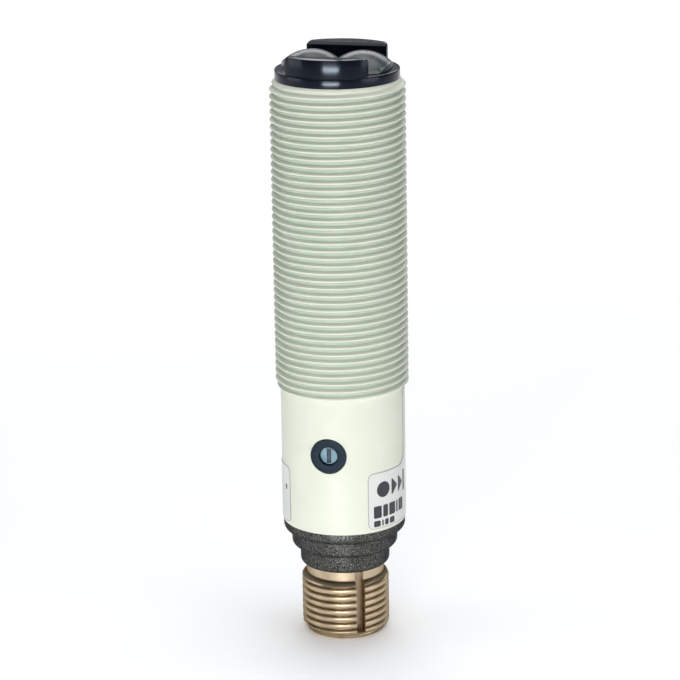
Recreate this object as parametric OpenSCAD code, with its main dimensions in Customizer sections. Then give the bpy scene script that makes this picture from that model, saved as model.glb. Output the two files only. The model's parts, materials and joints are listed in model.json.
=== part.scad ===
// Photoelectric sensor in an M18 threaded barrel, with an M12 plug connector.
// Millimetres. Z runs along the barrel, from the plug's end face at z = 0 up to the lenses.
// The trimmer faces -Y. Angles round the barrel are measured from -Y towards +X.

/* [Barrel] */
// Outside diameter of the M18 mounting thread
thread_d = 17.8; // [17.7:0.05:17.9]
// Depth of the mounting thread
thread_depth = 0.6; // [0.5:0.05:0.65]
// Outside diameter of the plain rear section
barrel_d = 16.56; // [16.5:0.02:16.6]
// Inside diameter of the barrel
bore_d = 14.4; // [14.3:0.05:14.5]
// Height of the barrel's rear edge above the plug's end face
barrel_bottom_z = 16.01; // [15.9:0.05:16.1]
// Height at which the plain section ends and the thread's chamfer starts
thread_bottom_z = 34.75; // [34.5:0.05:34.8]
// Height of the barrel's front edge
barrel_top_z = 76.2; // [76.1:0.05:76.3]

/* [Front] */
// Diameter of the black front disc
disc_d = 16.32; // [16.2:0.02:16.4]
// Thickness of the black front disc
disc_h = 1.29; // [1.2:0.05:1.4]
// Height of the two curved walls above the disc
wall_h = 2.36; // [2.2:0.02:2.6]
// Outside diameter across the two curved walls
wall_d = 16; // [15.8:0.1:16.1]
// Clear distance between the two flat inner wall faces
wall_gap = 10.2; // [9.8:0.1:10.4]
// Length of each wall along its flat face
wall_length = 10.8; // [10.4:0.1:11]
// Distance of each lens's centre from the barrel's axis
lens_offset = 3.4; // [3.3:0.05:3.6]
// Height of each lens's apex above the disc
lens_h = 2.3; // [2.1:0.05:2.35]
// Radius of each lens's curve
lens_curve_r = 5.5; // [5.2:0.1:5.6]
// Distance from the barrel's axis at which the lenses are cut off
lens_edge_r = 7.2; // [7:0.05:7.4]

/* [Trimmer] */
// Height of the trimmer's centre
trimmer_z = 27.05; // [26:0.05:28]
// Diameter of the round bezel
bezel_d = 4.85; // [4.8:0.05:4.9]
// Distance of the bezel's flat face from the barrel's axis
bezel_face = 8.33; // [8.3:0.01:8.4]
// Diameter of the slotted spindle's head
spindle_d = 2.36; // [2.3:0.02:2.4]
// Depth of the spindle's face behind the bezel's face
spindle_recess = 0.5; // [0.4:0.05:0.6]

/* [Connector] */
// Outside diameter of the M12 plug thread
plug_d = 11.8; // [11.7:0.05:11.9]
// Depth of the plug thread
plug_depth = 0.55; // [0.5:0.05:0.6]
// Inside diameter of the plug's socket
socket_d = 8.8; // [8.6:0.05:8.9]
// Height at which the plug thread ends
plug_top_z = 8.16; // [8:0.02:8.2]
// Height of the rear cap's lowest edge
cap_bottom_z = 9.6; // [9.4:0.05:9.7]
// Turn of the plug, its slot and its pins round the barrel, in degrees
plug_turn = 34.5; // [20:0.5:50]
// Diameter of each contact pin
pin_d = 1; // [0.9:0.05:1]
// Diameter of the circle that the contact pins stand on
pin_circle_d = 5; // [4.8:0.1:5]

/* [Label] */
// Angle of the label's one end, in degrees
label_start = 36.6; // [34:0.2:40]
// Angle of the label's other end, in degrees
label_end = 314.4; // [310:0.2:318]
// Height of the label's lower edge
label_bottom_z = 16.45; // [16.4:0.05:16.6]
// Height of the label's long upper edge
label_top_z = 24.3; // [24:0.1:24.6]
// Height of the upper edge of the taller part behind
label_tall_z = 34.5; // [33:0.1:34.5]

/* [Hidden] */

$fn = 96;
pitch = 1;              // both threads
slack = 0.02;           // between pieces that are pushed together
running = 0.07;         // radial clearance round the spindle's head
eps = 0.01;             // overlap of tools that cut

thread_r = thread_d / 2;
barrel_r = barrel_d / 2;
bore_r = bore_d / 2;
crest_first_z = thread_bottom_z + 1.4;
crest_count = 40;
crest_half = 0.1;       // half of a crest's flat
root_half = 0.1;        // half of a root's flat

disc_r = disc_d / 2;
disc_top_z = barrel_top_z + disc_h;
lens_seat_z = barrel_top_z - 1.4;
lens_shank_r = 3.1;
light_bore_r = 2.5;     // bore that the light runs through
plug_end_z = barrel_top_z - 7;      // lower end of the part of the optic cap inside the barrel
front_seal_z = plug_end_z + 2.8;
seal_groove_half = 0.5;
front_groove_r = bore_r - 0.85;

block_bottom_z = plug_end_z - 8.7;
diode_r = 1.5;
diode_seat_h = 3;

board_front_y = 0.5;    // face of the circuit board towards the trimmer
board_back_y = 1.5;
board_half = 6.2;
board_bottom_z = 20;
board_top_z = block_bottom_z - 0.7;

pot_front_y = -1.5;
pot_half = 2.4;
wiper_r = 1.22;
shaft_r = 0.8;
spindle_face_y = -(bezel_face - spindle_recess);
spindle_head_h = 0.9;
tail_side = 0.9;        // square tail of the spindle, in the wiper
bezel_r = bezel_d / 2;
bezel_flange_r = 2.9;

plug_r = plug_d / 2;
socket_r = socket_d / 2;
neck_r = 5.25;
shell_flange_r = 5.65;
shell_flange_z = 14.5;
shell_top_z = 15.7;
plug_first_crest_z = 0.9;
plug_groove_count = 7;
slot_floor_r = 4.75;      // distance of the slot's flat floor from the axis
slot_w = 1.2;
slot_bottom_z = 0.94;
carrier_face_z = 7.4;
carrier_top_z = 15;
pin_r = pin_d / 2;
pin_tip_z = 1;
pin_shoulder_r = 0.7;    // of the thicker part of a pin, inside the carrier
pin_top_z = 17;
pin_turns = [45, 135, 225, 315];

spigot_r = bore_r - slack;
spigot_inner_r = shell_flange_r + slack;
rear_seal_z = 18;
rear_groove_r = bore_r - 0.8;
connector_seal_z = 13.6;
connector_groove_r = 6.1;

label_t = 0.08;
tall_start = 88;        // angles between which the label is taller
tall_end = 268;

// Colours
BEIGE = [0.78, 0.80, 0.72];
BLACK = [0.05, 0.06, 0.08];
SMOKE = [0.09, 0.10, 0.13];
CLEAR = [0.62, 0.66, 0.62, 0.6];
RUBBER = [0.03, 0.03, 0.03];
BRASS = [0.80, 0.66, 0.42];
GOLD = [0.86, 0.70, 0.34];
BOARD = [0.05, 0.33, 0.18];

// ---- Shared shapes ----

// Outline of a ring-grooved wall: `count` crests, one pitch apart, from crest_z upwards.
function groove(z, crest, root) = [
    [crest, z + crest_half],
    [root, z + pitch / 2 - root_half],
    [root, z + pitch / 2 + root_half],
    [crest, z + pitch - crest_half]
];
function grooves(crest_z, count, crest, root) =
    [for (i = [0 : count - 2]) each groove(crest_z + i * pitch, crest, root)];

module tube(outer, inner, z0, z1) {
    translate([0, 0, z0])
        difference() {
            cylinder(r = outer, h = z1 - z0);
            translate([0, 0, -eps])
                cylinder(r = inner, h = z1 - z0 + 2 * eps);
        }
}

module disc(r, z0, z1) {
    translate([0, 0, z0])
        cylinder(r = r, h = z1 - z0);
}

// A box given by its lowest and highest corners.
module block(low, high) {
    translate(low)
        cube(high - low);
}

// Rubber ring that fills the space between an inner and an outer radius.
module o_ring(inner, outer, z) {
    section = (outer - inner) / 2 - slack / 2;
    color(RUBBER)
        translate([0, 0, z])
            rotate_extrude()
                translate([(outer + inner) / 2, 0])
                    circle(r = section, $fn = 48);
}

// Round bar along Y, at the trimmer's height, between two distances in front of the axis.
module trimmer_bar(r, y0, y1) {
    translate([0, y0, trimmer_z])
        rotate([90, 0, 0])
            cylinder(r = r, h = y0 - y1);
}

// Round rod between two points.
module rod(a, b, r) {
    d = b - a;
    length = norm(d);
    translate(a)
        rotate([0, acos(d[2] / length), atan2(d[1], d[0])])
            cylinder(r = r, h = length, $fn = 24);
}

// ---- Barrel ----

module housing() {
    thread_root_r = thread_r - thread_depth;
    last_crest_z = crest_first_z + (crest_count - 1) * pitch;
    outline = concat(
        [[bore_r, barrel_bottom_z],
         [barrel_r, barrel_bottom_z],
         [barrel_r, thread_bottom_z],
         [thread_r, thread_bottom_z + 0.4]],
        grooves(crest_first_z - pitch, crest_count + 1, thread_r, thread_root_r),
        [[thread_r, last_crest_z + 0.2],
         [disc_r, barrel_top_z],
         [bore_r, barrel_top_z]]);
    color(BEIGE)
        difference() {
            rotate_extrude()
                polygon(outline);
            trimmer_bar(bezel_r + slack, -bore_r / 2, -barrel_r - 1);
        }
}

module label() {
    color([0.93, 0.93, 0.94]) {
        label_band(label_start, label_end, label_bottom_z, label_top_z);
        label_band(tall_start, tall_end, label_top_z, label_tall_z);
    }
}

module label_band(from, to, z0, z1) {
    rotate([0, 0, from - 90])
        rotate_extrude(angle = to - from)
            translate([barrel_r, z0])
                square([label_t, z1 - z0]);
}

// ---- Front ----

module optic_cap() {
    color(BLACK) {
        difference() {
            union() {
                disc(disc_r, barrel_top_z, disc_top_z);
                disc(spigot_r, plug_end_z, barrel_top_z + eps);
            }
            for (side = [-1, 1])
                translate([side * lens_offset, 0, 0]) {
                    disc(lens_shank_r + slack, lens_seat_z, disc_top_z + 1);
                    disc(light_bore_r, plug_end_z - 1, lens_seat_z + eps);
                }
            tube(bore_r + 1, front_groove_r, front_seal_z - seal_groove_half,
                 front_seal_z + seal_groove_half);
        }
        for (side = [0, 180])
            rotate([0, 0, side])
                cap_wall();
    }
}

// One curved wall, flat inside, with its top inner edge bevelled.
module cap_wall() {
    bevel = 0.4;
    top_z = disc_top_z + wall_h;
    intersection() {
        disc(wall_d / 2, disc_top_z - eps, top_z);
        block([-wall_length / 2, -wall_d, disc_top_z - eps], [wall_length / 2, -wall_gap / 2, top_z]);
        translate([0, -wall_gap / 2, top_z])
            rotate([-45, 0, 0])
                block([-wall_length, -wall_d, -wall_d], [wall_length, wall_d, -bevel / sqrt(2)]);
    }
}

// Domed lens, cut off round the outside and where it meets the other lens, with a round shank.
module lens(side) {
    apex_z = disc_top_z + lens_h;
    middle = side * (lens_edge_r + slack) / 2;
    color(CLEAR) {
        intersection() {
            translate([side * lens_offset, 0, apex_z - lens_curve_r])
                sphere(r = lens_curve_r);
            disc(lens_edge_r, disc_top_z, apex_z + 1);
            translate([middle, 0, apex_z])
                cube([lens_edge_r, 2 * lens_edge_r, 4 * lens_h], center = true);
        }
        translate([side * lens_offset, 0, 0])
            disc(lens_shank_r, lens_seat_z, disc_top_z + eps);
    }
}

module emitter_lens() {
    lens(-1);
}

module receiver_lens() {
    lens(1);
}

module front_seal() {
    o_ring(front_groove_r, bore_r, front_seal_z);
}

// ---- Optics and electronics ----

module optic_block() {
    clip_low = board_top_z - 4;
    color(BLACK) {
        difference() {
            disc(spigot_r, block_bottom_z, plug_end_z);
            for (side = [-1, 1])
                translate([side * lens_offset, 0, 0]) {
                    disc(light_bore_r, block_bottom_z + diode_seat_h, plug_end_z + 1);
                    disc(diode_r + slack, block_bottom_z - 1, block_bottom_z + diode_seat_h + eps);
                }
        }
        for (side = [-1, 1])
            block([side * 5.9 - 0.5, board_back_y, clip_low],
                  [side * 5.9 + 0.5, board_back_y + 1, block_bottom_z + eps]);
    }
}

// Round diode with a flange and two legs that reach down the board's front face.
module diode(side, body_h) {
    flange_h = 0.5;
    leg = 0.45;
    translate([side * lens_offset, 0, 0]) {
        disc(diode_r + 0.25, block_bottom_z - flange_h, block_bottom_z);
        disc(diode_r, block_bottom_z, block_bottom_z + body_h);
        translate([0, 0, block_bottom_z + body_h])
            sphere(r = diode_r);
        for (leg_x = [-0.9, 0.9])
            block([leg_x - leg / 2, board_front_y - leg, board_top_z - 3],
                  [leg_x + leg / 2, board_front_y, block_bottom_z - flange_h + eps]);
    }
}

module emitter_led() {
    color([0.85, 0.35, 0.32])
        diode(-1, 2.2);
}

module receiver_diode() {
    color([0.12, 0.08, 0.12])
        diode(1, 1.8);
}

module circuit_board() {
    color(BOARD)
        block([-board_half, board_front_y, board_bottom_z], [board_half, board_back_y, board_top_z]);
}

module signal_chip() {
    chip_z = 46.5;
    color(BLACK) {
        block([-1.95, board_front_y - 1.5, chip_z - 2.45], [1.95, board_front_y - 0.1, chip_z + 2.45]);
        for (side = [-1, 1])
            for (i = [-1.5 : 1 : 1.5])
                translate([side * 2.45, board_front_y, chip_z + i * 1.27])
                    block([-0.55, -0.7, -0.2], [0.55, 0, 0.2]);
    }
}

module output_transistor() {
    transistor_z = 32;
    color(BLACK) {
        block([-2.25, board_back_y + 0.1, transistor_z - 1.25],
              [2.25, board_back_y + 1.6, transistor_z + 1.25]);
        for (x = [-1.5, 0, 1.5])
            translate([x, board_back_y, transistor_z - 1.9])
                block([-0.25, 0, -0.1], [0.25, 0.4, 0.8]);
    }
}

module filter_capacitor() {
    can_z = 41;
    color([0.75, 0.76, 0.78]) {
        block([-2.15, board_back_y, can_z - 2.15], [2.15, board_back_y + 0.5, can_z + 2.15]);
        translate([0, board_back_y + 4.4, can_z])
            rotate([90, 0, 0])
                cylinder(r = 2, h = 4);
    }
}

module chip_resistors() {
    color([0.13, 0.13, 0.14])
        for (i = [0 : 3])
            translate([-3.6 + i * 2.4, board_front_y, 36])
                block([-0.4, -0.5, -0.8], [0.4, 0, 0.8]);
}

module status_led() {
    color([0.95, 0.75, 0.2])
        block([2.6, board_back_y, board_bottom_z + 0.6], [4.2, board_back_y + 0.9, board_bottom_z + 2.6]);
}

// ---- Trimmer ----

module trimmer_pot() {
    pocket_floor_y = -0.3;
    color([0.12, 0.22, 0.45])
        difference() {
            block([-pot_half, pot_front_y, trimmer_z - pot_half],
                  [pot_half, board_front_y, trimmer_z + pot_half]);
            trimmer_bar(wiper_r + running, pocket_floor_y, pot_front_y - 1);
        }
}

module trimmer_wiper() {
    color([0.85, 0.85, 0.80])
        difference() {
            trimmer_bar(wiper_r, -0.36, pot_front_y);
            square_tail(slack);
        }
}

// Square end of the spindle, and the hole for it in the wiper.
module square_tail(extra) {
    half = tail_side / 2 + extra / 2;
    block([-half, pot_front_y - eps, trimmer_z - half], [half, -0.7 + extra, trimmer_z + half]);
}

module trimmer_spindle() {
    slot_half = 0.3;
    slot_reach = 0.98;
    slot_depth = 0.45;
    head_back_y = spindle_face_y + spindle_head_h;
    color([0.58, 0.68, 0.75])
        difference() {
            union() {
                trimmer_bar(spindle_d / 2, head_back_y, spindle_face_y);
                trimmer_bar(shaft_r, pot_front_y, head_back_y - eps);
                square_tail(0);
            }
            block([-slot_half, spindle_face_y - 1, trimmer_z - slot_reach],
                  [slot_half, spindle_face_y + slot_depth, trimmer_z + slot_reach]);
        }
}

module trimmer_bezel() {
    flange_front_y = -6.5;
    flange_back_y = -5.2;
    shoulder_y = spindle_face_y + spindle_head_h + 0.05;
    color(BLACK)
        difference() {
            union() {
                trimmer_bar(bezel_r, flange_back_y, -bezel_face);
                trimmer_bar(bezel_flange_r, flange_back_y, flange_front_y);
            }
            trimmer_bar(spindle_d / 2 + running, shoulder_y, -bezel_face - 1);
            trimmer_bar(shaft_r + running / 2, flange_back_y + 1, -bezel_face - 1);
            trimmer_bar(1.72, flange_back_y + 1, shoulder_y + 0.4);
        }
}

module trimmer_seal() {
    translate([0, -5.85, trimmer_z])
        rotate([90, 0, 0])
            o_ring(shaft_r + 0.04, 1.72, 0);
}

// ---- Rear ----

module rear_cap() {
    outline = [
        [neck_r + slack, cap_bottom_z],
        [5.7, cap_bottom_z],
        [6.02, cap_bottom_z + 0.35],
        [6.1, 12.2],
        [6.8, 12.2],
        [7.1, 12.5],
        [7.2, 14.45],
        [7.85, 14.45],
        [8.18, 14.8],
        [8.25, barrel_bottom_z],
        [spigot_r, barrel_bottom_z],
        [spigot_r, rear_seal_z - seal_groove_half],
        [rear_groove_r, rear_seal_z - seal_groove_half],
        [rear_groove_r, rear_seal_z + seal_groove_half],
        [spigot_r, rear_seal_z + seal_groove_half],
        [spigot_r, board_bottom_z],
        [spigot_inner_r, board_bottom_z],
        [spigot_inner_r, shell_flange_z],
        [neck_r + slack, shell_flange_z],
        [neck_r + slack, connector_seal_z + seal_groove_half],
        [connector_groove_r, connector_seal_z + seal_groove_half],
        [connector_groove_r, connector_seal_z - seal_groove_half],
        [neck_r + slack, connector_seal_z - seal_groove_half]
    ];
    color(SMOKE)
        rotate_extrude()
            polygon(outline);
}

module rear_seal() {
    o_ring(rear_groove_r, bore_r, rear_seal_z);
}

module connector_seal() {
    o_ring(neck_r, connector_groove_r, connector_seal_z);
}

module connector_shell() {
    plug_root_r = plug_r - plug_depth;
    outline = concat(
        [[socket_r, 0],
         [5.1, 0],
         [5.3, 0.2],
         [5.45, 0.55]],
        grooves(plug_first_crest_z, plug_groove_count + 1, plug_r, plug_root_r),
        [[plug_r, plug_top_z - 0.2],
         [neck_r, plug_top_z + 0.1],
         [neck_r, shell_flange_z],
         [shell_flange_r, shell_flange_z],
         [shell_flange_r, shell_top_z],
         [socket_r, shell_top_z]]);
    color(BRASS)
        difference() {
            rotate_extrude()
                polygon(outline);
            rotate([0, 0, plug_turn])
                block([-slot_w / 2, -plug_r - 1, slot_bottom_z],
                      [slot_w / 2, -slot_floor_r, cap_bottom_z + 1]);
        }
}

// Insulator that holds the pins, with the coding key along the socket's wall.
module contact_carrier() {
    key_half = 0.5;
    key_inner_r = 3.85;
    key_bottom_z = 1.5;
    color(BLACK)
        rotate([0, 0, plug_turn])
            difference() {
                union() {
                    disc(socket_r - slack, carrier_face_z, carrier_top_z);
                    intersection() {
                        disc(socket_r - slack, key_bottom_z, carrier_top_z - 1);
                        block([-key_half, -socket_r, key_bottom_z],
                              [key_half, -key_inner_r, carrier_face_z + 1]);
                    }
                }
                for (turn = pin_turns)
                    rotate([0, 0, turn])
                        translate([0, -pin_circle_d / 2, 0])
                            disc(pin_shoulder_r + slack / 2, carrier_face_z - 1, carrier_top_z + 1);
            }
}

module contact_pin(index) {
    color(GOLD)
        rotate([0, 0, plug_turn + pin_turns[index]])
            translate([0, -pin_circle_d / 2, 0]) {
                disc(pin_r, pin_tip_z + pin_r, carrier_face_z + eps);
                disc(pin_shoulder_r, carrier_face_z, pin_top_z);
                translate([0, 0, pin_tip_z + pin_r])
                    sphere(r = pin_r, $fn = 48);
            }
}

module contact_pin_1() {
    contact_pin(0);
}

module contact_pin_2() {
    contact_pin(1);
}

module contact_pin_3() {
    contact_pin(2);
}

module contact_pin_4() {
    contact_pin(3);
}

// Four wires, each from the back of a pin up to a pad on the board, with solder at the bends.
module pin_leads() {
    lead_r = 0.3;
    solder_r = 0.4;
    bend_z = pin_top_z + 0.8;
    pad_z = board_bottom_z + 0.9;
    color([0.6, 0.25, 0.12])
        for (turn = pin_turns) {
            angle = plug_turn + turn - 90;
            foot = [cos(angle), sin(angle), 0] * pin_circle_d / 2;
            pad_y = foot[1] > board_back_y ? board_back_y + solder_r : board_front_y - solder_r;
            pad = [foot[0] * 1.5, pad_y, 0];
            low_bend = foot + [0, 0, bend_z];
            high_bend = pad + [0, 0, pad_z];
            rod(foot + [0, 0, pin_top_z], low_bend, lead_r);
            rod(low_bend, high_bend, lead_r);
            rod(high_bend, high_bend + [0, 0, 2], lead_r);
            for (bend = [low_bend, high_bend])
                translate(bend)
                    sphere(r = solder_r, $fn = 24);
        }
}

housing();
optic_cap();
emitter_lens();
receiver_lens();
front_seal();
optic_block();
emitter_led();
receiver_diode();
circuit_board();
signal_chip();
output_transistor();
filter_capacitor();
chip_resistors();
status_led();
trimmer_pot();
trimmer_wiper();
trimmer_spindle();
trimmer_bezel();
trimmer_seal();
rear_cap();
rear_seal();
connector_shell();
connector_seal();
contact_carrier();
contact_pin_1();
contact_pin_2();
contact_pin_3();
contact_pin_4();
pin_leads();
label();
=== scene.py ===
"""Looks of the photoelectric sensor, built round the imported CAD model.

Shapes are made in millimetres in the row frame (+Z along the barrel, -Y out of the trimmer) and
scaled to metres when they become pieces. Angles round the barrel are measured from -Y towards +X.
"""
import json
import math

import bmesh
import bpy
import numpy as np
from mathutils import Matrix, Vector


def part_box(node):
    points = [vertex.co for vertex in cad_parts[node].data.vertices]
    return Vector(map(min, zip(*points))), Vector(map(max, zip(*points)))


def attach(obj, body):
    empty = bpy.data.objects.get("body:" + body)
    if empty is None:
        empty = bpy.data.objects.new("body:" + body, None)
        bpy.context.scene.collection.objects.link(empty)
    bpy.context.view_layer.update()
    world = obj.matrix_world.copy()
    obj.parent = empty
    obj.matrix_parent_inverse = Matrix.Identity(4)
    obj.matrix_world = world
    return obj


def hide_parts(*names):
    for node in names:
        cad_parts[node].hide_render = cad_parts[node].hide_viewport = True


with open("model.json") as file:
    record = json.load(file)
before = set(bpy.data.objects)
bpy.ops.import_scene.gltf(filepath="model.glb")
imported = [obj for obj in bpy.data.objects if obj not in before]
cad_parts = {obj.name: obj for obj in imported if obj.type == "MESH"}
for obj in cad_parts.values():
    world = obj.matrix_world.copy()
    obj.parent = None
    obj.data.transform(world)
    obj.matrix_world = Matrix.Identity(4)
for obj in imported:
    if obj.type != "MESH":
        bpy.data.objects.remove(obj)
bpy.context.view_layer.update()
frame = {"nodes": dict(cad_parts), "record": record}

MM = 0.001
SENSOR = "sensor_body"
TRIMMER = "trimmer"


def box_mm(node):
    """Lowest and highest corner of a CAD node in millimetres."""
    low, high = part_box(node)
    return low / MM, high / MM


def mount(name):
    """The record's mount of that name."""
    return next(m for m in frame["record"]["mounts"] if m["name"] == name)


# ---- Sizes, in millimetres, from the frame ----

HOUSING_LOW, HOUSING_HIGH = box_mm("housing")
CAP_LOW, CAP_HIGH = box_mm("optic_cap")
REAR_LOW, REAR_HIGH = box_mm("rear_cap")
LABEL_LOW, LABEL_HIGH = box_mm("label")
BEZEL_LOW, BEZEL_HIGH = box_mm("trimmer_bezel")
SPINDLE_LOW, SPINDLE_HIGH = box_mm("trimmer_spindle")
SHELL_TOP = box_mm("connector_shell")[1].z
LENS_LOW, LENS_HIGH = box_mm("emitter_lens")

PITCH = 1.0                 # of both threads
THREAD_R = mount("mounting_thread")["dims"]["r_mm"]
PLUG_R = mount("plug_thread")["dims"]["r_mm"]
BARREL_TOP = HOUSING_HIGH.z
BARREL_BOTTOM = HOUSING_LOW.z
LABEL_R = LABEL_HIGH.y
LABEL_T = 0.08              # thickness of the label
BARREL_R = LABEL_R - LABEL_T
BORE_R = box_mm("front_seal")[1].x + 0.01
THREAD_BOTTOM = LABEL_HIGH.z + 0.25
THREAD_PHASE = 0.07         # height of a crest at -Y, in pitches above a multiple of the pitch
DISC_R = CAP_HIGH.x
DISC_TOP = LENS_LOW.z + 2.69
LENS_OFFSET = 3.4           # from the barrel's axis to each lens's axis
LENS_CURVE_R = 5.5
LENS_EDGE_R = -LENS_LOW.x
TRIMMER_Z = (SPINDLE_LOW.z + SPINDLE_HIGH.z) / 2
BEZEL_FACE = -BEZEL_LOW.y
BEZEL_R = 2.425
SPINDLE_FACE = -SPINDLE_LOW.y
SPINDLE_R = SPINDLE_HIGH.x
PLUG_TURN = 34.5            # angle of the plug's slot, in degrees
SOCKET_R = 4.4
NECK_R = 5.25               # of the plug, above its thread
PLUG_TOP = 8.16             # upper end of the plug's thread
COLUMNS = 144               # steps round a threaded piece
ON_AXIS = 1e-6              # a smaller radius is a point on the axis
SAME_PLACE = 5e-4           # vertices of a finished piece that are closer than this are merged


# ---- Mesh helpers, in millimetres ----

def on_barrel(radius, angle, z):
    """Point at an angle in degrees from -Y towards +X."""
    a = math.radians(angle)
    return Vector((radius * math.sin(a), -radius * math.cos(a), z))


def rounded(corners, steps):
    """Closed outline from (x, y, radius) corners, with each corner turned into an arc."""
    outline = []
    for i, (x, y, radius) in enumerate(corners):
        here = Vector((x, y))
        if radius <= 0:
            outline.append(here)
            continue
        before = (Vector(corners[i - 1][:2]) - here).normalized()
        after = (Vector(corners[(i + 1) % len(corners)][:2]) - here).normalized()
        half = before.angle(after) / 2
        centre = here + (before + after).normalized() * radius / math.sin(half)
        start = here + before * radius / math.tan(half) - centre
        end = here + after * radius / math.tan(half) - centre
        turn = start.angle_signed(end)
        for k in range(steps + 1):
            arm = start.copy()
            arm.rotate(Matrix.Rotation(-turn * k / steps, 2))
            outline.append(centre + arm)
    return outline


def revolve(outline, steps):
    """Solid of revolution about Z from a closed (radius, height) outline.

    The outline may also be a function that gives it for an angle in degrees.
    """
    bm = bmesh.new()
    angles = [360 * j / steps for j in range(steps)]
    columns = [outline(a) if callable(outline) else outline for a in angles]
    rings = []
    for i, (first_r, first_z) in enumerate(columns[0]):
        if first_r < ON_AXIS:
            ring = [bm.verts.new((0, 0, first_z))] * steps
        else:
            ring = [bm.verts.new(on_barrel(c[i][0], a, c[i][1])) for a, c in zip(angles, columns)]
        rings.append(ring)
    for low, high in zip(rings, rings[1:] + rings[:1]):
        for j in range(steps):
            k = (j + 1) % steps
            corners = []
            for v in (low[j], low[k], high[k], high[j]):
                if v not in corners:
                    corners.append(v)
            if len(corners) > 2:
                bm.faces.new(corners)
    bmesh.ops.recalc_face_normals(bm, faces=bm.faces)
    return bm


def extrude(outline, depth, matrix):
    """Prism of a closed 2-D outline in XY, from z = 0 up to depth, then placed by matrix."""
    bm = bmesh.new()
    low = [bm.verts.new((p[0], p[1], 0)) for p in outline]
    high = [bm.verts.new((p[0], p[1], depth)) for p in outline]
    bm.faces.new(low[::-1])
    bm.faces.new(high)
    for i in range(len(low)):
        k = (i + 1) % len(low)
        bm.faces.new((low[i], low[k], high[k], high[i]))
    bmesh.ops.recalc_face_normals(bm, faces=bm.faces)
    bmesh.ops.transform(bm, matrix=matrix, verts=bm.verts)
    return bm


def cuboid(low, high):
    """Box between two corners."""
    outline = [(low[0], low[1]), (high[0], low[1]), (high[0], high[1]), (low[0], high[1])]
    return extrude(outline, high[2] - low[2], Matrix.Translation((0, 0, low[2])))


def threaded(profile, phase, crest_r, path, envelope):
    """Solid with a right-handed thread outside.

    profile holds (height in pitches, depth) over one pitch, with the crest at height 0.
    path is the rest of the closed outline: (radius, height) from the thread's lower end round
    to its upper end. envelope gives the largest radius at a height.
    """
    bm = bmesh.new()
    bottom, top = path[0][1], path[-1][1]
    first = math.floor(bottom / PITCH) - 2
    last = math.ceil(top / PITCH) + 1
    levels = [((turn + phase + height) * PITCH, depth)
              for turn in range(first, last) for height, depth in profile]
    grid = []
    for level, depth in levels:
        row = []
        for j in range(COLUMNS):
            z = min(max(level + PITCH * j / COLUMNS, bottom), top)
            limit = envelope(z)
            radius = limit if z in (bottom, top) else min(limit, crest_r - depth)
            row.append(bm.verts.new(on_barrel(radius, 360 * j / COLUMNS, z)))
        grid.append(row)
    per_turn = len(profile)
    for i in range(len(grid) - 1):
        for j in range(COLUMNS - 1):
            bm.faces.new((grid[i][j], grid[i][j + 1], grid[i + 1][j + 1], grid[i + 1][j]))
        before = i - per_turn
        if before >= 0:
            bm.faces.new((grid[before][-1], grid[i][0], grid[i + 1][0], grid[before + 1][-1]))
    rings = [[bm.verts.new(on_barrel(radius, 360 * j / COLUMNS, z)) for j in range(COLUMNS)]
             for radius, z in path]
    for low, high in zip(rings, rings[1:]):
        for j in range(COLUMNS):
            k = (j + 1) % COLUMNS
            bm.faces.new((low[j], low[k], high[k], high[j]))
    same_point, no_length = 1e-4, 1e-5
    bmesh.ops.remove_doubles(bm, verts=bm.verts, dist=same_point)
    bmesh.ops.dissolve_degenerate(bm, edges=bm.edges, dist=no_length)
    bmesh.ops.recalc_face_normals(bm, faces=bm.faces)
    return bm


def work_object(bm, name="work"):
    """Puts a bmesh into an object of its own, still in millimetres."""
    mesh = bpy.data.meshes.new(name)
    bm.to_mesh(mesh)
    bm.free()
    obj = bpy.data.objects.new(name, mesh)
    bpy.context.scene.collection.objects.link(obj)
    return obj


def apply_modifiers(obj):
    """Replaces an object's mesh by the mesh that its modifiers give."""
    bpy.context.view_layer.update()
    evaluated = obj.evaluated_get(bpy.context.evaluated_depsgraph_get())
    obj.data = bpy.data.meshes.new_from_object(evaluated)
    obj.modifiers.clear()


def combine(obj, bm, operation):
    """Boolean of an object with a bmesh: DIFFERENCE, UNION or INTERSECT."""
    tool = work_object(bm, "tool")
    modifier = obj.modifiers.new("combine", "BOOLEAN")
    modifier.operation = operation
    modifier.solver = "EXACT"
    modifier.object = tool
    apply_modifiers(obj)
    bpy.data.objects.remove(tool)


def bevel(obj, width, segments, angle):
    """Rounds every edge that is sharper than an angle in degrees."""
    modifier = obj.modifiers.new("bevel", "BEVEL")
    modifier.width = width
    modifier.segments = segments
    modifier.limit_method = "ANGLE"
    modifier.angle_limit = math.radians(angle)
    apply_modifiers(obj)


def finish_piece(obj, name, body, materials, replaces, sharp):
    """Closes a working object's mesh, scales it to metres, gives it its materials, parents it to its body
    and hides the CAD parts it replaces.

    Edges that turn by more than sharp degrees stay sharp.
    """
    bm = bmesh.new()
    bm.from_mesh(obj.data)
    bmesh.ops.remove_doubles(bm, verts=bm.verts, dist=SAME_PLACE)
    bmesh.ops.dissolve_degenerate(bm, edges=bm.edges, dist=SAME_PLACE)
    bmesh.ops.holes_fill(bm, edges=[edge for edge in bm.edges if edge.is_boundary])
    bmesh.ops.transform(bm, matrix=Matrix.Scale(MM, 4), verts=bm.verts)
    bm.normal_update()
    limit = math.radians(sharp)
    for face in bm.faces:
        face.smooth = True
    for edge in bm.edges:
        edge.smooth = len(edge.link_faces) == 2 and edge.calc_face_angle(0) < limit
    bm.to_mesh(obj.data)
    bm.free()
    obj.name = obj.data.name = name
    obj.data.materials.clear()
    for material in materials:
        obj.data.materials.append(material)
    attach(obj, body)
    if replaces:
        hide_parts(*replaces)


# ---- Material helpers ----

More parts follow.
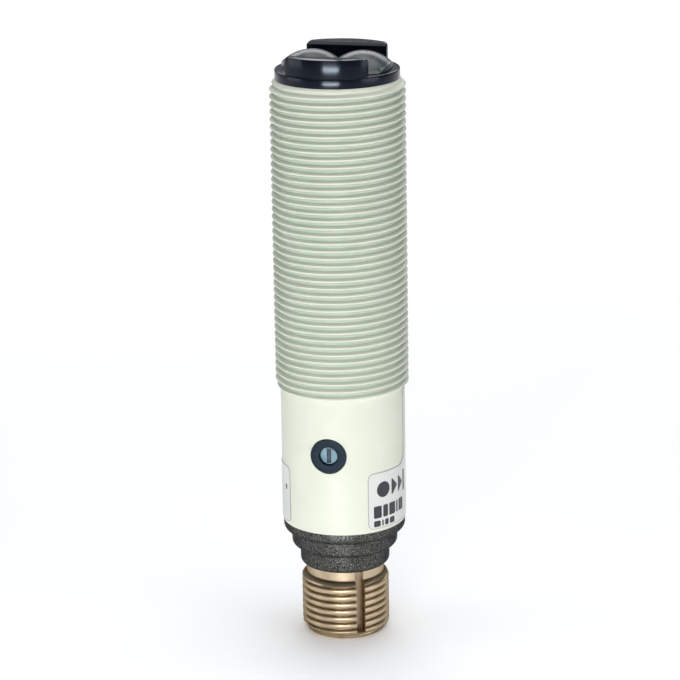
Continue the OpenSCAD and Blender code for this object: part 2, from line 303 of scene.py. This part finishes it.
def srgb(r, g, b):
    """Linear RGBA from 0-255 screen values."""
    def linear(c):
        c /= 255
        return c / 12.92 if c <= 0.04045 else ((c + 0.055) / 1.055) ** 2.4
    return (linear(r), linear(g), linear(b), 1)


class Surface:
    """A Principled material whose colour, roughness and relief vary by noise in object space."""

    def __init__(self, name, colour, second, roughness, spread, scale, **sockets):
        self.material = bpy.data.materials.new(name)
        self.material.use_nodes = True
        self.tree = self.material.node_tree
        self.tree.nodes.clear()
        self.shader = self.node("ShaderNodeBsdfPrincipled")
        output = self.node("ShaderNodeOutputMaterial")
        self.link(self.shader.outputs[0], output.inputs[0])
        self.place = self.node("ShaderNodeTexCoord").outputs["Object"]
        noise = self.noise(scale)
        self.paint(noise, (0.3, colour), (0.7, second))
        rough = self.remap(noise, 0.3, 0.7, roughness - spread / 2, roughness + spread / 2)
        self.link(rough, self.shader.inputs["Roughness"])
        for socket, value in sockets.items():
            self.shader.inputs[socket.replace("_", " ")].default_value = value

    def node(self, kind, **settings):
        made = self.tree.nodes.new(kind)
        for key, value in settings.items():
            setattr(made, key, value)
        return made

    def link(self, source, target):
        self.tree.links.new(source, target)

    def noise(self, scale, detail=3.0, stretch=(1, 1, 1)):
        mapping = self.node("ShaderNodeMapping")
        mapping.inputs["Scale"].default_value = stretch
        self.link(self.place, mapping.inputs["Vector"])
        texture = self.node("ShaderNodeTexNoise")
        texture.inputs["Scale"].default_value = scale
        texture.inputs["Detail"].default_value = detail
        self.link(mapping.outputs[0], texture.inputs["Vector"])
        return texture.outputs["Fac"]

    def ramp(self, factor, *stops):
        ramp = self.node("ShaderNodeValToRGB")
        elements = ramp.color_ramp.elements
        while len(elements) < len(stops):
            elements.new(0.5)
        for element, (position, colour) in zip(elements, stops):
            element.position = position
            element.color = colour
        self.link(factor, ramp.inputs[0])
        return ramp.outputs[0]

    def paint(self, factor, *stops):
        """Takes the colour from a ramp over a factor, in place of any colour that is there."""
        self.colour = self.ramp(factor, *stops)
        self.link(self.colour, self.shader.inputs["Base Color"])

    def remap(self, factor, from_low, from_high, low, high):
        remap = self.node("ShaderNodeMapRange")
        values = (from_low, from_high, low, high)
        for socket, value in zip(("From Min", "From Max", "To Min", "To Max"), values):
            remap.inputs[socket].default_value = value
        self.link(factor, remap.inputs["Value"])
        return remap.outputs[0]

    def paint_root_shade(self, root_r, crest_r, low_z, high_z, tone):
        """Paints shade into the colour: multiplies it by tone towards a thread's roots, between two
        heights, in mm.
        """
        fade = 0.2
        flat = self.node("ShaderNodeVectorMath", operation="MULTIPLY")
        flat.inputs[1].default_value = (1, 1, 0)
        self.link(self.place, flat.inputs[0])
        length = self.node("ShaderNodeVectorMath", operation="LENGTH")
        self.link(flat.outputs[0], length.inputs[0])
        depth = self.remap(length.outputs["Value"], root_r * MM, crest_r * MM, 1, 0)
        split = self.node("ShaderNodeSeparateXYZ")
        self.link(self.place, split.inputs[0])
        above = self.remap(split.outputs["Z"], (low_z - fade) * MM, low_z * MM, 0, 1)
        below = self.remap(split.outputs["Z"], high_z * MM, (high_z + fade) * MM, 1, 0)
        amount = depth
        for part in (above, below):
            product = self.node("ShaderNodeMath", operation="MULTIPLY")
            self.link(amount, product.inputs[0])
            self.link(part, product.inputs[1])
            amount = product.outputs[0]
        mix = self.node("ShaderNodeMix", data_type="RGBA", blend_type="MULTIPLY")
        self.link(amount, mix.inputs[0])
        self.link(self.colour, mix.inputs[6])
        mix.inputs[7].default_value = (*tone, 1)
        self.colour = mix.outputs[2]
        self.link(self.colour, self.shader.inputs["Base Color"])

    def bump(self, factor, strength, depth_mm):
        """Adds relief from a 0 to 1 height, over any relief that is there."""
        bump = self.node("ShaderNodeBump")
        bump.inputs["Strength"].default_value = strength
        bump.inputs["Distance"].default_value = depth_mm * MM
        self.link(factor, bump.inputs["Height"])
        links = self.shader.inputs["Normal"].links
        if links:
            self.link(links[0].from_socket, bump.inputs["Normal"])
        self.link(bump.outputs[0], self.shader.inputs["Normal"])


# ---- Materials ----

def housing_plastic():
    surface = Surface("housing_plastic", srgb(210, 212, 198), srgb(205, 208, 193), 0.42, 0.08, 260,
                      Specular_IOR_Level=0.35)
    # Painted shade: the colour darkens towards the thread's roots, where the grooves are shaded.
    painted_root_shade = (0.72, 0.8, 0.77)
    surface.paint_root_shade(THREAD_R - 0.55, THREAD_R - 0.03, THREAD_BOTTOM + 0.4, BARREL_TOP - 0.8, painted_root_shade)
    surface.bump(surface.noise(9000, 2), 0.3, 0.006)
    return surface.material


def cap_black():
    surface = Surface("cap_black", srgb(5, 9, 19), srgb(8, 13, 25), 0.17, 0.05, 300,
                      Specular_IOR_Level=0.24, Specular_Tint=(0.74, 0.86, 1.0, 1))
    surface.bump(surface.noise(2600, 3), 0.12, 0.01)
    return surface.material


def lens_clear():
    surface = Surface("lens_clear", srgb(60, 70, 75), srgb(50, 60, 66), 0.28, 0.06, 200,
                      IOR=1.49, Transmission_Weight=0.2, Specular_IOR_Level=0.5)
    surface.bump(surface.noise(1500, 3, (1, 1, 0.1)), 0.1, 0.02)
    return surface.material


def bezel_black():
    surface = Surface("bezel_black", srgb(11, 22, 33), srgb(18, 31, 45), 0.42, 0.12, 1500,
                      Specular_IOR_Level=0.25, Specular_Tint=(0.75, 0.9, 1.0, 1))
    surface.bump(surface.noise(6000, 3), 0.4, 0.01)
    return surface.material


def spindle_grey():
    surface = Surface("spindle_grey", srgb(104, 136, 152), srgb(124, 154, 169), 0.32, 0.1, 900,
                      Specular_IOR_Level=0.5)
    surface.bump(surface.noise(3500, 2), 0.2, 0.01)
    return surface.material


def cap_smoke():
    """Dark smoked plastic with a metallic sheen and fine pale flecks."""
    dark, pale = srgb(28, 33, 39), srgb(130, 127, 120)
    surface = Surface("cap_smoke", dark, pale, 0.36, 0.08, 900, Specular_Tint=(0.3, 0.32, 0.35, 1))
    flecks = surface.noise(7200, 2)
    surface.paint(flecks, (0.4, dark), (0.72, pale))
    surface.link(surface.remap(flecks, 0.2, 0.6, 0.75, 1), surface.shader.inputs["Metallic"])
    surface.bump(flecks, 0.5, 0.03)
    return surface.material


def plug_brass():
    surface = Surface("plug_brass", srgb(204, 187, 160), srgb(188, 170, 142), 0.34, 0.08, 700,
                      Metallic=1.0, Specular_Tint=(0.4, 0.36, 0.32, 1))
    # Painted shade: the brass darkens towards the thread's roots, where the grooves are shaded.
    painted_root_shade = (0.42, 0.38, 0.34)
    surface.paint_root_shade(PLUG_R - 0.55, PLUG_R - 0.05, 0.8, PLUG_TOP + 0.1, painted_root_shade)
    surface.bump(surface.noise(4200, 2, (0.05, 0.05, 1)), 0.3, 0.006)
    return surface.material


def pin_gold():
    surface = Surface("pin_gold", srgb(236, 204, 128), srgb(222, 184, 104), 0.22, 0.06, 2000,
                      Metallic=1.0)
    surface.bump(surface.noise(9000, 2), 0.1, 0.002)
    return surface.material


def label_white():
    surface = Surface("label_white", srgb(206, 208, 204), srgb(200, 202, 199), 0.4, 0.1, 200,
                      Specular_IOR_Level=0.5)
    surface.bump(surface.noise(1500, 2), 0.1, 0.004)
    return surface.material


def label_rim():
    return Surface("label_rim", srgb(166, 168, 166), srgb(150, 152, 152), 0.5, 0.1, 2000).material


def label_ink():
    surface = Surface("label_ink", srgb(30, 33, 40), srgb(40, 43, 50), 0.38, 0.1, 2500,
                      Specular_IOR_Level=0.5)
    surface.bump(surface.noise(8000, 2), 0.15, 0.002)
    return surface.material


def simple(name, colour, second, roughness, scale=1500, **sockets):
    """Material of an inner piece: two close tones, varied gloss and a fine grain."""
    surface = Surface(name, srgb(*colour), srgb(*second), roughness, 0.1, scale, **sockets)
    surface.bump(surface.noise(scale * 3, 2), 0.2, 0.006)
    return surface.material


MATERIALS = {
    "housing_plastic": housing_plastic(),
    "cap_black": cap_black(),
    "lens_clear": lens_clear(),
    "bezel_black": bezel_black(),
    "spindle_grey": spindle_grey(),
    "cap_smoke": cap_smoke(),
    "plug_brass": plug_brass(),
    "pin_gold": pin_gold(),
    "label_white": label_white(),
    "seal_rubber": simple("seal_rubber", (24, 24, 25), (34, 34, 35), 0.7),
    "block_black": simple("block_black", (22, 23, 26), (34, 35, 38), 0.5),
    "led_red": simple("led_red", (190, 60, 50), (206, 80, 66), 0.15, Transmission_Weight=0.5),
    "diode_dark": simple("diode_dark", (26, 16, 30), (36, 22, 38), 0.15),
    "board_green": simple("board_green", (20, 92, 56), (26, 108, 66), 0.35, 900),
    "chip_black": simple("chip_black", (26, 26, 28), (38, 38, 40), 0.55, 4000),
    "can_metal": simple("can_metal", (196, 198, 202), (180, 182, 188), 0.3, Metallic=1.0),
    "led_yellow": simple("led_yellow", (230, 190, 70), (236, 204, 96), 0.2, Transmission_Weight=0.4),
    "pot_blue": simple("pot_blue", (30, 56, 128), (40, 68, 146), 0.35),
    "wiper_white": simple("wiper_white", (222, 222, 212), (208, 208, 198), 0.45),
    "lead_insulation": simple("lead_insulation", (112, 58, 34), (128, 70, 42), 0.45),
}

# Materials without a slot of their own: painted shade for the floors of two slots, the label's print and
# its rim.
SLOT_SHADE = simple("spindle_slot", (44, 56, 68), (56, 70, 82), 0.5)
PLUG_SHADE = simple("plug_slot", (150, 132, 110), (168, 148, 124), 0.35, Metallic=1.0)
INK = label_ink()
RIM = label_rim()


# ---- Housing ----

# Half of the thread's profile: height from the crest in pitches, and depth in millimetres.
HALF_THREAD = [(0.05, 0), (0.09, 0.03), (0.13, 0.1), (0.31, 0.51), (0.36, 0.58), (0.44, 0.6)]


def full_profile(half):
    """Whole pitch of a symmetrical thread, from the root below a crest to the root above it."""
    below = [(-height, depth) for height, depth in reversed(half)]
    return below + [(0, 0)] + half


def build_housing():
    """Threaded barrel with a plain rear section and a round hole for the trimmer's bezel."""
    chamfer_low, chamfer_high = 0.4, 0.85

    def envelope(z):
        from_bottom = BARREL_R + (z - THREAD_BOTTOM) / chamfer_low * (THREAD_R - BARREL_R)
        from_top = DISC_R + (BARREL_TOP - z) / chamfer_high * (THREAD_R - DISC_R)
        return min(THREAD_R, from_bottom, from_top)

    edge, plain_rings = 0.06, 9
    path = [(BARREL_R, THREAD_BOTTOM)]
    path += [(BARREL_R, z) for z in np.linspace(THREAD_BOTTOM - 0.4, BARREL_BOTTOM + 1, plain_rings)]
    path += [(BARREL_R, BARREL_BOTTOM + edge), (BARREL_R - edge * 0.3, BARREL_BOTTOM + edge * 0.3),
             (BARREL_R - edge, BARREL_BOTTOM), (BORE_R, BARREL_BOTTOM), (BORE_R, BARREL_TOP),
             (DISC_R, BARREL_TOP)]
    barrel = work_object(threaded(full_profile(HALF_THREAD), THREAD_PHASE, THREAD_R, path, envelope))
    hole_r, hole_start, hole_length = 2.44, 5, 6
    circle = [(hole_r * math.cos(a), hole_r * math.sin(a))
              for a in np.linspace(0, 2 * math.pi, 64, endpoint=False)]
    outwards = Matrix.Translation((0, -hole_start, TRIMMER_Z)) @ Matrix.Rotation(math.pi / 2, 4, "X")
    combine(barrel, extrude(circle, hole_length, outwards), "DIFFERENCE")
    finish_piece(barrel, "housing_threaded", SENSOR,
                 [MATERIALS["housing_plastic"]], ["housing"], 50)


# ---- Front ----

def wall_solid(z0, z1):
    """One guard wall on the -Y side: flat inside with a bevelled top edge, round outside."""
    inner, bevelled, half, corner = 5.1, 0.4, 5.4, 0.55
    outer_r, past, side, depth = 8, 9, 6, 6
    section = [(-inner, z0), (-inner, z1 - bevelled), (-inner - bevelled, z1), (-past, z1), (-past, z0)]
    along_x = Matrix(((0, 0, 1, -side), (1, 0, 0, 0), (0, 1, 0, 0), (0, 0, 0, 1)))
    wall = work_object(extrude(section, 2 * side, along_x))
    drum = revolve([(0, z0 - 1), (outer_r, z0 - 1), (outer_r, z1 + 1), (0, z1 + 1)], 360)
    combine(wall, drum, "INTERSECT")
    front = rounded([(-half, z0 - 2, 0), (half, z0 - 2, 0), (half, z1, corner), (-half, z1, corner)], 8)
    along_y = Matrix(((1, 0, 0, 0), (0, 0, 1, -past), (0, 1, 0, 0), (0, 0, 0, 1)))
    combine(wall, extrude(front, depth, along_y), "INTERSECT")
    bevel(wall, 0.13, 4, 30)
    return wall


def build_optic_cap():
    """Disc on a spigot, bored for the two lenses and their light, and two guard walls on it."""
    spigot_r, skirt = BORE_R - 0.02, CAP_LOW.z
    lens_bore = (3.12, LENS_LOW.z, DISC_TOP + 1)
    light_bore = (2.3, skirt - 1, LENS_LOW.z + 0.1)
    outline = rounded([(0, skirt, 0), (spigot_r, skirt, 0.3), (spigot_r, BARREL_TOP, 0),
                       (DISC_R, BARREL_TOP, 0.06), (DISC_R, DISC_TOP, 0.18), (0, DISC_TOP, 0)], 5)
    cap = work_object(revolve(outline, 192))
    for side in (-1, 1):
        for radius, low, high in (lens_bore, light_bore):
            drill = revolve([(0, low), (radius, low), (radius, high), (0, high)], 96)
            bmesh.ops.translate(drill, vec=(side * LENS_OFFSET, 0, 0), verts=drill.verts)
            combine(cap, drill, "DIFFERENCE")
    finish_piece(cap, "optic_cap_disc", SENSOR, [MATERIALS["cap_black"]], ["optic_cap"], 40)
    for name, turn in (("optic_cap_wall_front", 0), ("optic_cap_wall_back", math.pi)):
        wall = wall_solid(DISC_TOP - 0.1, CAP_HIGH.z)
        wall.data.transform(Matrix.Rotation(turn, 4, "Z"))
        finish_piece(wall, name, SENSOR, [MATERIALS["cap_black"]], (), 40)


def build_lens(node, side):
    """Dome cut off by a drum round the barrel's axis and by the other lens, with a round shank."""
    centre_z = LENS_HIGH.z - LENS_CURVE_R
    base_r = math.sqrt(LENS_CURVE_R ** 2 - (DISC_TOP - centre_z) ** 2)
    chamfer, rows, gap = 0.07, 14, 0.01
    shank_r, shank_top = 3.1, DISC_TOP - 0.01

    def profile(angle):
        across = math.sin(math.radians(angle)) * side
        reach = math.sqrt(LENS_EDGE_R ** 2 - LENS_OFFSET ** 2 * (1 - across ** 2)) - LENS_OFFSET * across
        if across < 0:
            reach = min(reach, (LENS_OFFSET - gap) / -across)
        reach = min(reach, base_r)
        radii = [(reach - chamfer) * k / rows for k in range(rows + 1)]
        outline = [(r, centre_z + math.sqrt(LENS_CURVE_R ** 2 - r ** 2)) for r in radii]
        rim_z = outline[-1][1]
        outline += [(reach - chamfer * 0.3, max(rim_z - chamfer * 0.3, DISC_TOP)),
                    (reach, max(rim_z - chamfer, DISC_TOP)), (reach, shank_top),
                    (shank_r, shank_top), (shank_r, LENS_LOW.z), (0, LENS_LOW.z)]
        return outline

    bm = revolve(profile, 240)
    bmesh.ops.translate(bm, vec=(side * LENS_OFFSET, 0, 0), verts=bm.verts)
    finish_piece(work_object(bm), node + "_dome", SENSOR,
                 [MATERIALS["lens_clear"]], [node], 28)


# ---- Trimmer ----

def towards_trimmer(bm):
    """Turns a shape made along +Z so that it runs along -Y at the trimmer's height."""
    turn = Matrix.Translation((0, 0, TRIMMER_Z)) @ Matrix.Rotation(math.pi / 2, 4, "X")
    bmesh.ops.transform(bm, matrix=turn, verts=bm.verts)
    return bm


def build_bezel():
    """Round bush with a flange inside the barrel, and a recess for the spindle's head."""
    head, shaft, pocket, flange_r = SPINDLE_R + 0.07, 0.835, 1.72, 2.9
    flange, seal_seat, head_seat, back = 6.5, 6.52, 6.88, -BEZEL_HIGH.y
    outline = rounded([
        (head, BEZEL_FACE, 0.12), (BEZEL_R, BEZEL_FACE, 0.16), (BEZEL_R, flange, 0),
        (flange_r, flange, 0.1), (flange_r, back, 0.1), (pocket, back, 0.05),
        (pocket, seal_seat, 0), (shaft, seal_seat, 0), (shaft, head_seat, 0), (head, head_seat, 0)], 4)
    bm = towards_trimmer(revolve(outline, 96))
    finish_piece(work_object(bm), "trimmer_bezel_ring", SENSOR,
                 [MATERIALS["bezel_black"]], ["trimmer_bezel"], 35)


def build_spindle():
    """Slotted head on a shaft, with a thin tail into the potentiometer."""
    neck, step, tail = SPINDLE_FACE - 0.9, 1.5, -SPINDLE_HIGH.y
    shaft_r, tail_r = 0.8, 0.45
    outline = rounded([
        (0, SPINDLE_FACE, 0), (0, tail, 0), (tail_r, tail, 0), (tail_r, step, 0),
        (shaft_r, step, 0.05), (shaft_r, neck, 0), (SPINDLE_R, neck, 0.05),
        (SPINDLE_R, SPINDLE_FACE, 0.1)], 4)
    spindle = work_object(towards_trimmer(revolve(outline, 72)))
    half, reach, depth = 0.3, 0.98, 0.45
    slot = rounded([(-half, -reach, 0.1), (half, -reach, 0.1), (half, reach, 0.1), (-half, reach, 0.1)], 4)
    cutter = extrude(slot, 2, Matrix.Translation((0, 0, SPINDLE_FACE - depth)))
    combine(spindle, towards_trimmer(cutter), "DIFFERENCE")
    bevel(spindle, 0.03, 2, 40)
    finish_piece(spindle, "trimmer_spindle_slotted", TRIMMER,
                 [MATERIALS["spindle_grey"], SLOT_SHADE], ["trimmer_spindle"], 35)
    # Painted shade: faces inside the slot take the darker slot material.
    lip, margin = 0.06, 0.02
    for face in spindle.data.polygons:
        behind = face.center.y / MM + SPINDLE_FACE
        if lip < behind < depth + margin and abs(face.center.x / MM) < half + margin:
            face.material_index = 1


# ---- Rear cap and plug ----

def build_rear_cap():
    """Three round steps with rounded lower edges, and a spigot inside the barrel."""
    bottom, top = REAR_LOW.z, REAR_HIGH.z
    inner, spigot_r, spigot_inner = NECK_R + 0.02, BORE_R - 0.02, 5.67
    second, third, flange_seat = 12.2, 14.45, 14.5
    # Radius at a step's lower and upper end, both heights, and both fillets.
    steps = ((6.02, 6.1, bottom, second, 0.65, 0.06), (7.12, 7.2, second, third, 0.7, 0.06),
             (8.2, 8.25, third, BARREL_BOTTOM, 0.8, 0.04))
    corners = [(inner, bottom, 0)]
    for low_r, high_r, low, high, low_fillet, high_fillet in steps:
        corners += [(low_r, low, low_fillet), (high_r, high, high_fillet)]
    corners += [(spigot_r, BARREL_BOTTOM, 0), (spigot_r, top, 0.1), (spigot_inner, top, 0.1),
                (spigot_inner, flange_seat, 0), (inner, flange_seat, 0)]
    cap = work_object(revolve(rounded(corners, 8), 160))
    finish_piece(cap, "rear_cap_smoked", SENSOR,
                 [MATERIALS["cap_smoke"]], ["rear_cap"], 32)


# As HALF_THREAD, for the plug's thread with its broad flat crests.
HALF_PLUG_THREAD = [(0.2, 0), (0.25, 0.02), (0.3, 0.09), (0.41, 0.38), (0.44, 0.45), (0.48, 0.47)]


def build_connector_shell():
    """Plug shell with a thread, a plain neck, a flange inside the rear cap and a long slot."""
    flange_z, flange_r = 14.5, 5.65
    start_r, start_z, lead, run = 5.35, 0.3, 0.7, 0.5
    end_z, phase = PLUG_TOP + 0.1, 0.9

    def envelope(z):
        lead_in = start_r + (z - start_z) / lead * (PLUG_R - start_r)
        run_out = NECK_R + (end_z - z) / run * (PLUG_R - NECK_R)
        return min(PLUG_R, lead_in, run_out)

    path = [(start_r, start_z), (5.3, 0.15), (5.2, 0.05), (5.1, 0), (4.7, 0), (4.5, 0.05),
            (SOCKET_R, 0.2), (SOCKET_R, SHELL_TOP), (flange_r, SHELL_TOP), (flange_r, flange_z),
            (NECK_R, flange_z), (NECK_R, 9.4), (NECK_R, end_z)]
    shell = work_object(threaded(full_profile(HALF_PLUG_THREAD), phase, PLUG_R, path, envelope))
    turn = Matrix.Rotation(math.radians(PLUG_TURN), 4, "Z")
    slot_half, slot_low = 0.6, 0.94
    for floor_r, slot_top in ((4.75, REAR_LOW.z + 1), (4.5, 1.7)):
        slot = cuboid((-slot_half, -PLUG_R - 1, slot_low), (slot_half, -floor_r, slot_top))
        bmesh.ops.transform(slot, matrix=turn, verts=slot.verts)
        combine(shell, slot, "DIFFERENCE")
    finish_piece(shell, "connector_shell_threaded", SENSOR,
                 [MATERIALS["plug_brass"], PLUG_SHADE], ["connector_shell"], 50)
    # Painted shade: the floor of the slot takes the darker slot material.
    floor_half, floor_near, floor_far, floor_low = 0.55, 4.45, 5.7, 0.9
    for face in shell.data.polygons:
        centre = turn.inverted() @ (face.center / MM)
        deep = floor_near < -centre.y < floor_far
        if deep and abs(centre.x) < floor_half and floor_low < centre.z < REAR_LOW.z + 1:
            face.material_index = 1


# ---- Label ----

def wrap(outlines, radius, thickness):
    """Thin closed sheet of flat outlines, in degrees and height, bent round the barrel."""
    step = 3.0
    bm = bmesh.new()
    for outline in outlines:
        bm.faces.new([bm.verts.new((p[0], 0, p[1])) for p in outline])
    bmesh.ops.triangulate(bm, faces=bm.faces)
    low = min(v.co.x for v in bm.verts)
    high = max(v.co.x for v in bm.verts)
    for x in np.arange(math.ceil(low / step) * step, high, step):
        geometry = bm.verts[:] + bm.edges[:] + bm.faces[:]
        bmesh.ops.bisect_plane(bm, geom=geometry, dist=1e-6, plane_co=(x, 0, 0), plane_no=(1, 0, 0))
    bmesh.ops.recalc_face_normals(bm, faces=bm.faces)
    if sum(f.normal.y for f in bm.faces) > 0:
        bmesh.ops.reverse_faces(bm, faces=bm.faces)
    back = bmesh.ops.duplicate(bm, geom=bm.faces[:])
    back_verts = [g for g in back["geom"] if isinstance(g, bmesh.types.BMVert)]
    back_faces = [g for g in back["geom"] if isinstance(g, bmesh.types.BMFace)]
    pairs = back["vert_map"]
    bmesh.ops.reverse_faces(bm, faces=back_faces)
    for v in back_verts:
        v.co.y = thickness
    front_edges = [e for e in bm.edges if e.is_boundary and all(v.co.y == 0 for v in e.verts)]
    for e in front_edges:
        a, b = e.verts
        bm.faces.new((a, b, pairs[b], pairs[a]))
    bmesh.ops.recalc_face_normals(bm, faces=bm.faces)
    for v in bm.verts:
        v.co = on_barrel(radius - v.co.y, v.co.x, v.co.z)
    return bm


def degrees_of(mm):
    """Angle round the label that an arc in millimetres takes."""
    return math.degrees(mm / LABEL_R)


def flat_outline(corners, steps=6):
    """Rounded outline given in arc millimetres and height, turned into degrees and height."""
    return [(degrees_of(p[0]), p[1]) for p in rounded(corners, steps)]


LABEL_START, LABEL_END = 36.6, 314.4
TALL_START, TALL_END = 88.0, 268.0
BAND_TOP = 24.3


def label_corners(inset=0.0):
    """Corners of the label's outline, in arc millimetres and height, with their radii."""
    def arc(angle):
        return math.radians(angle) * LABEL_R
    low, high = LABEL_LOW.z + inset, LABEL_HIGH.z - inset
    left, right = arc(LABEL_START) + inset, arc(LABEL_END) - inset
    ear_left, ear_right = arc(TALL_START) + inset, arc(TALL_END) - inset
    band = BAND_TOP - inset
    corner, hollow, ear = 0.85 - inset, 1.6 + inset, 0.5
    return [(left, low, corner), (right, low, corner), (right, band, corner),
            (ear_right, band, hollow), (ear_right, high, ear), (ear_left, high, ear),
            (ear_left, band, hollow), (left, band, corner)]


def build_label():
    """Label with a thin darker rim, which is the edge of the sheet under its white face."""
    rim_width, sunk, clearance, face_t = 0.09, 0.004, 0.006, 0.02
    sheet = work_object(wrap([flat_outline(label_corners())], LABEL_R - sunk, LABEL_T - clearance))
    finish_piece(sheet, "label_sheet", SENSOR, [RIM], ["label"], 60)
    face = work_object(wrap([flat_outline(label_corners(rim_width))], LABEL_R, face_t))
    finish_piece(face, "label_face", SENSOR, [MATERIALS["label_white"]], (), 60)


def bar(left, low, width, height, radius):
    """Corners of a rounded bar."""
    radius = min(radius, width / 2.01, height / 2.01)
    return [(left, low, radius), (left + width, low, radius),
            (left + width, low + height, radius), (left, low + height, radius)]


def disc_corners(x, z, radius, sides=20):
    """Corners of a round dot, as a regular outline."""
    turns = [2 * math.pi * k / sides for k in range(sides)]
    return [(x + radius * math.cos(t), z + radius * math.sin(t), 0) for t in turns]


def build_print():
    """Generic print: a dot that sends a beam to a bar, two rows of plain blocks, a small mark."""
    start = math.radians(LABEL_START + 9) * LABEL_R
    middle, dot_r, arrow_half, arrow_length, corner = 21.85, 1.1, 1.3, 1.25, 0.12
    arrows_start, arrow_step, bar_start, bar_width, bar_half = 2.6, 1.5, 5.6, 0.6, 1.5
    shapes = [disc_corners(start + dot_r, middle, dot_r)]
    for k in range(2):
        x = start + arrows_start + k * arrow_step
        shapes.append([(x, middle - arrow_half, corner), (x + arrow_length, middle, corner),
                       (x, middle + arrow_half, corner)])
    gap, indent, rounding = 0.25, -0.5, 0.2
    shapes.append(bar(start + bar_start, middle - bar_half, bar_width, 2 * bar_half, rounding))
    # Lower edge, height and steps from block to block of each row.
    rows = ((17.95, 1.7, (1.5, 1.1, 1.5, 0.6, 1.5)), (16.75, 0.85, (1.3, 0.5, 0.9, 1.2)))
    for low, height, widths in rows:
        x = start + indent
        for width in widths:
            shapes.append(bar(x, low, width - gap, height, rounding))
            x += width
    shapes.append(bar(math.radians(LABEL_END - 9) * LABEL_R, 21.0, 0.5, 0.7, 0.1))
    outlines = [flat_outline(shape, 3) for shape in shapes]
    raised, ink_t = 0.003, 0.006
    sheet = work_object(wrap(outlines, LABEL_R + raised, ink_t))
    finish_piece(sheet, "label_print", SENSOR, [INK], (), 60)


# ---- Stage ----

def build_stage():
    """Pale paper floor, 8 metres across."""
    bm = bmesh.new()
    bmesh.ops.create_circle(bm, cap_ends=True, segments=96, radius=4)
    floor = bpy.data.objects.new("floor", bpy.data.meshes.new("floor"))
    bm.to_mesh(floor.data)
    bm.free()
    bpy.context.scene.collection.objects.link(floor)
    surface = Surface("floor_paper", srgb(250, 250, 250), srgb(248, 248, 249), 0.85, 0.05, 12)
    surface.bump(surface.noise(300, 3), 0.05, 0.05)
    floor.data.materials.append(surface.material)


CAMERA_TURN = 14.5          # degrees from the trimmer's side towards +X


def from_camera(azimuth, distance, height):
    """Place on the stage, with azimuth measured from the camera's side towards its right."""
    a = math.radians(azimuth + CAMERA_TURN)
    return Vector((distance * math.sin(a), -distance * math.cos(a), height))


def softbox(name, azimuth, distance, height, size, power, aim=0.045):
    """Soft rectangular light that looks at the sensor's axis at a height of aim; all in metres."""
    light = bpy.data.lights.new(name, "AREA")
    light.shape = "RECTANGLE"
    light.size, light.size_y = size
    light.energy = power
    obj = bpy.data.objects.new(name, light)
    obj.location = from_camera(azimuth, distance, height)
    obj.rotation_mode = "QUATERNION"
    obj.rotation_quaternion = (Vector((0, 0, aim)) - obj.location).to_track_quat("-Z", "Y")
    obj.visible_camera = False
    bpy.context.scene.collection.objects.link(obj)


def build_lights():
    softbox("key", -14, 0.24, 0.045, (0.10, 0.06), 0.04)
    softbox("strip", -12, 0.20, 0.043, (0.10, 0.019), 0.205, 0.06)
    softbox("low_card", -7, 0.042, 0.0045, (0.022, 0.006), 0.0022, 0.012)
    softbox("left", -85, 0.5, 0.10, (0.3, 0.2), 0.37)
    softbox("right", 62, 0.5, 0.10, (0.3, 0.2), 0.54)
    softbox("overhead", 150, 0.15, 1.0, (0.9, 0.9), 7.0, 0.0)
    softbox("backdrop", 180, 0.6, 0.42, (0.8, 0.25), 1.8, 0.06)
    world = bpy.data.worlds.new("studio")
    world.use_nodes = True
    world.node_tree.nodes["Background"].inputs["Color"].default_value = (0.86, 0.93, 1.0, 1)
    world.node_tree.nodes["Background"].inputs["Strength"].default_value = 0.22
    bpy.context.scene.world = world


def build_camera():
    """Camera that was fitted to the sensor's known sizes, turned with the stage."""
    data = bpy.data.cameras.new("camera")
    data.lens = 145.33
    data.sensor_width = 36
    camera = bpy.data.objects.new("camera", data)
    pitch, yaw, roll = math.radians(16.54), math.radians(-0.19), math.radians(-0.963)
    turn = math.radians(CAMERA_TURN)
    offset = Vector((-0.00138, -0.35051, 0.14478))
    forward = Vector((-math.sin(yaw) * math.cos(pitch), math.cos(yaw) * math.cos(pitch), -math.sin(pitch)))
    spin = Matrix.Rotation(turn, 3, "Z")
    camera.location = spin @ offset
    camera.rotation_mode = "QUATERNION"
    look = (spin @ forward).to_track_quat("-Z", "Y")
    camera.rotation_quaternion = look @ Matrix.Rotation(roll, 3, "Z").to_quaternion()
    data.clip_start, data.clip_end = 0.01, 20
    bpy.context.scene.collection.objects.link(camera)
    bpy.context.scene.camera = camera


def dress_cad_nodes():
    """Gives every CAD node the material of its slot, before finer pieces replace some of them."""
    slots = {part["node"]: part["material_slot"] for part in frame["record"]["subparts"]}
    for name, obj in frame["nodes"].items():
        obj.data.materials.clear()
        obj.data.materials.append(MATERIALS[slots[name]])


build_camera()
dress_cad_nodes()
build_housing()
build_optic_cap()
build_lens("emitter_lens", -1)
build_lens("receiver_lens", 1)
build_bezel()
build_spindle()
build_rear_cap()
build_connector_shell()
build_label()
build_print()
build_stage()
build_lights()
bpy.context.scene.view_settings.view_transform = "Standard"
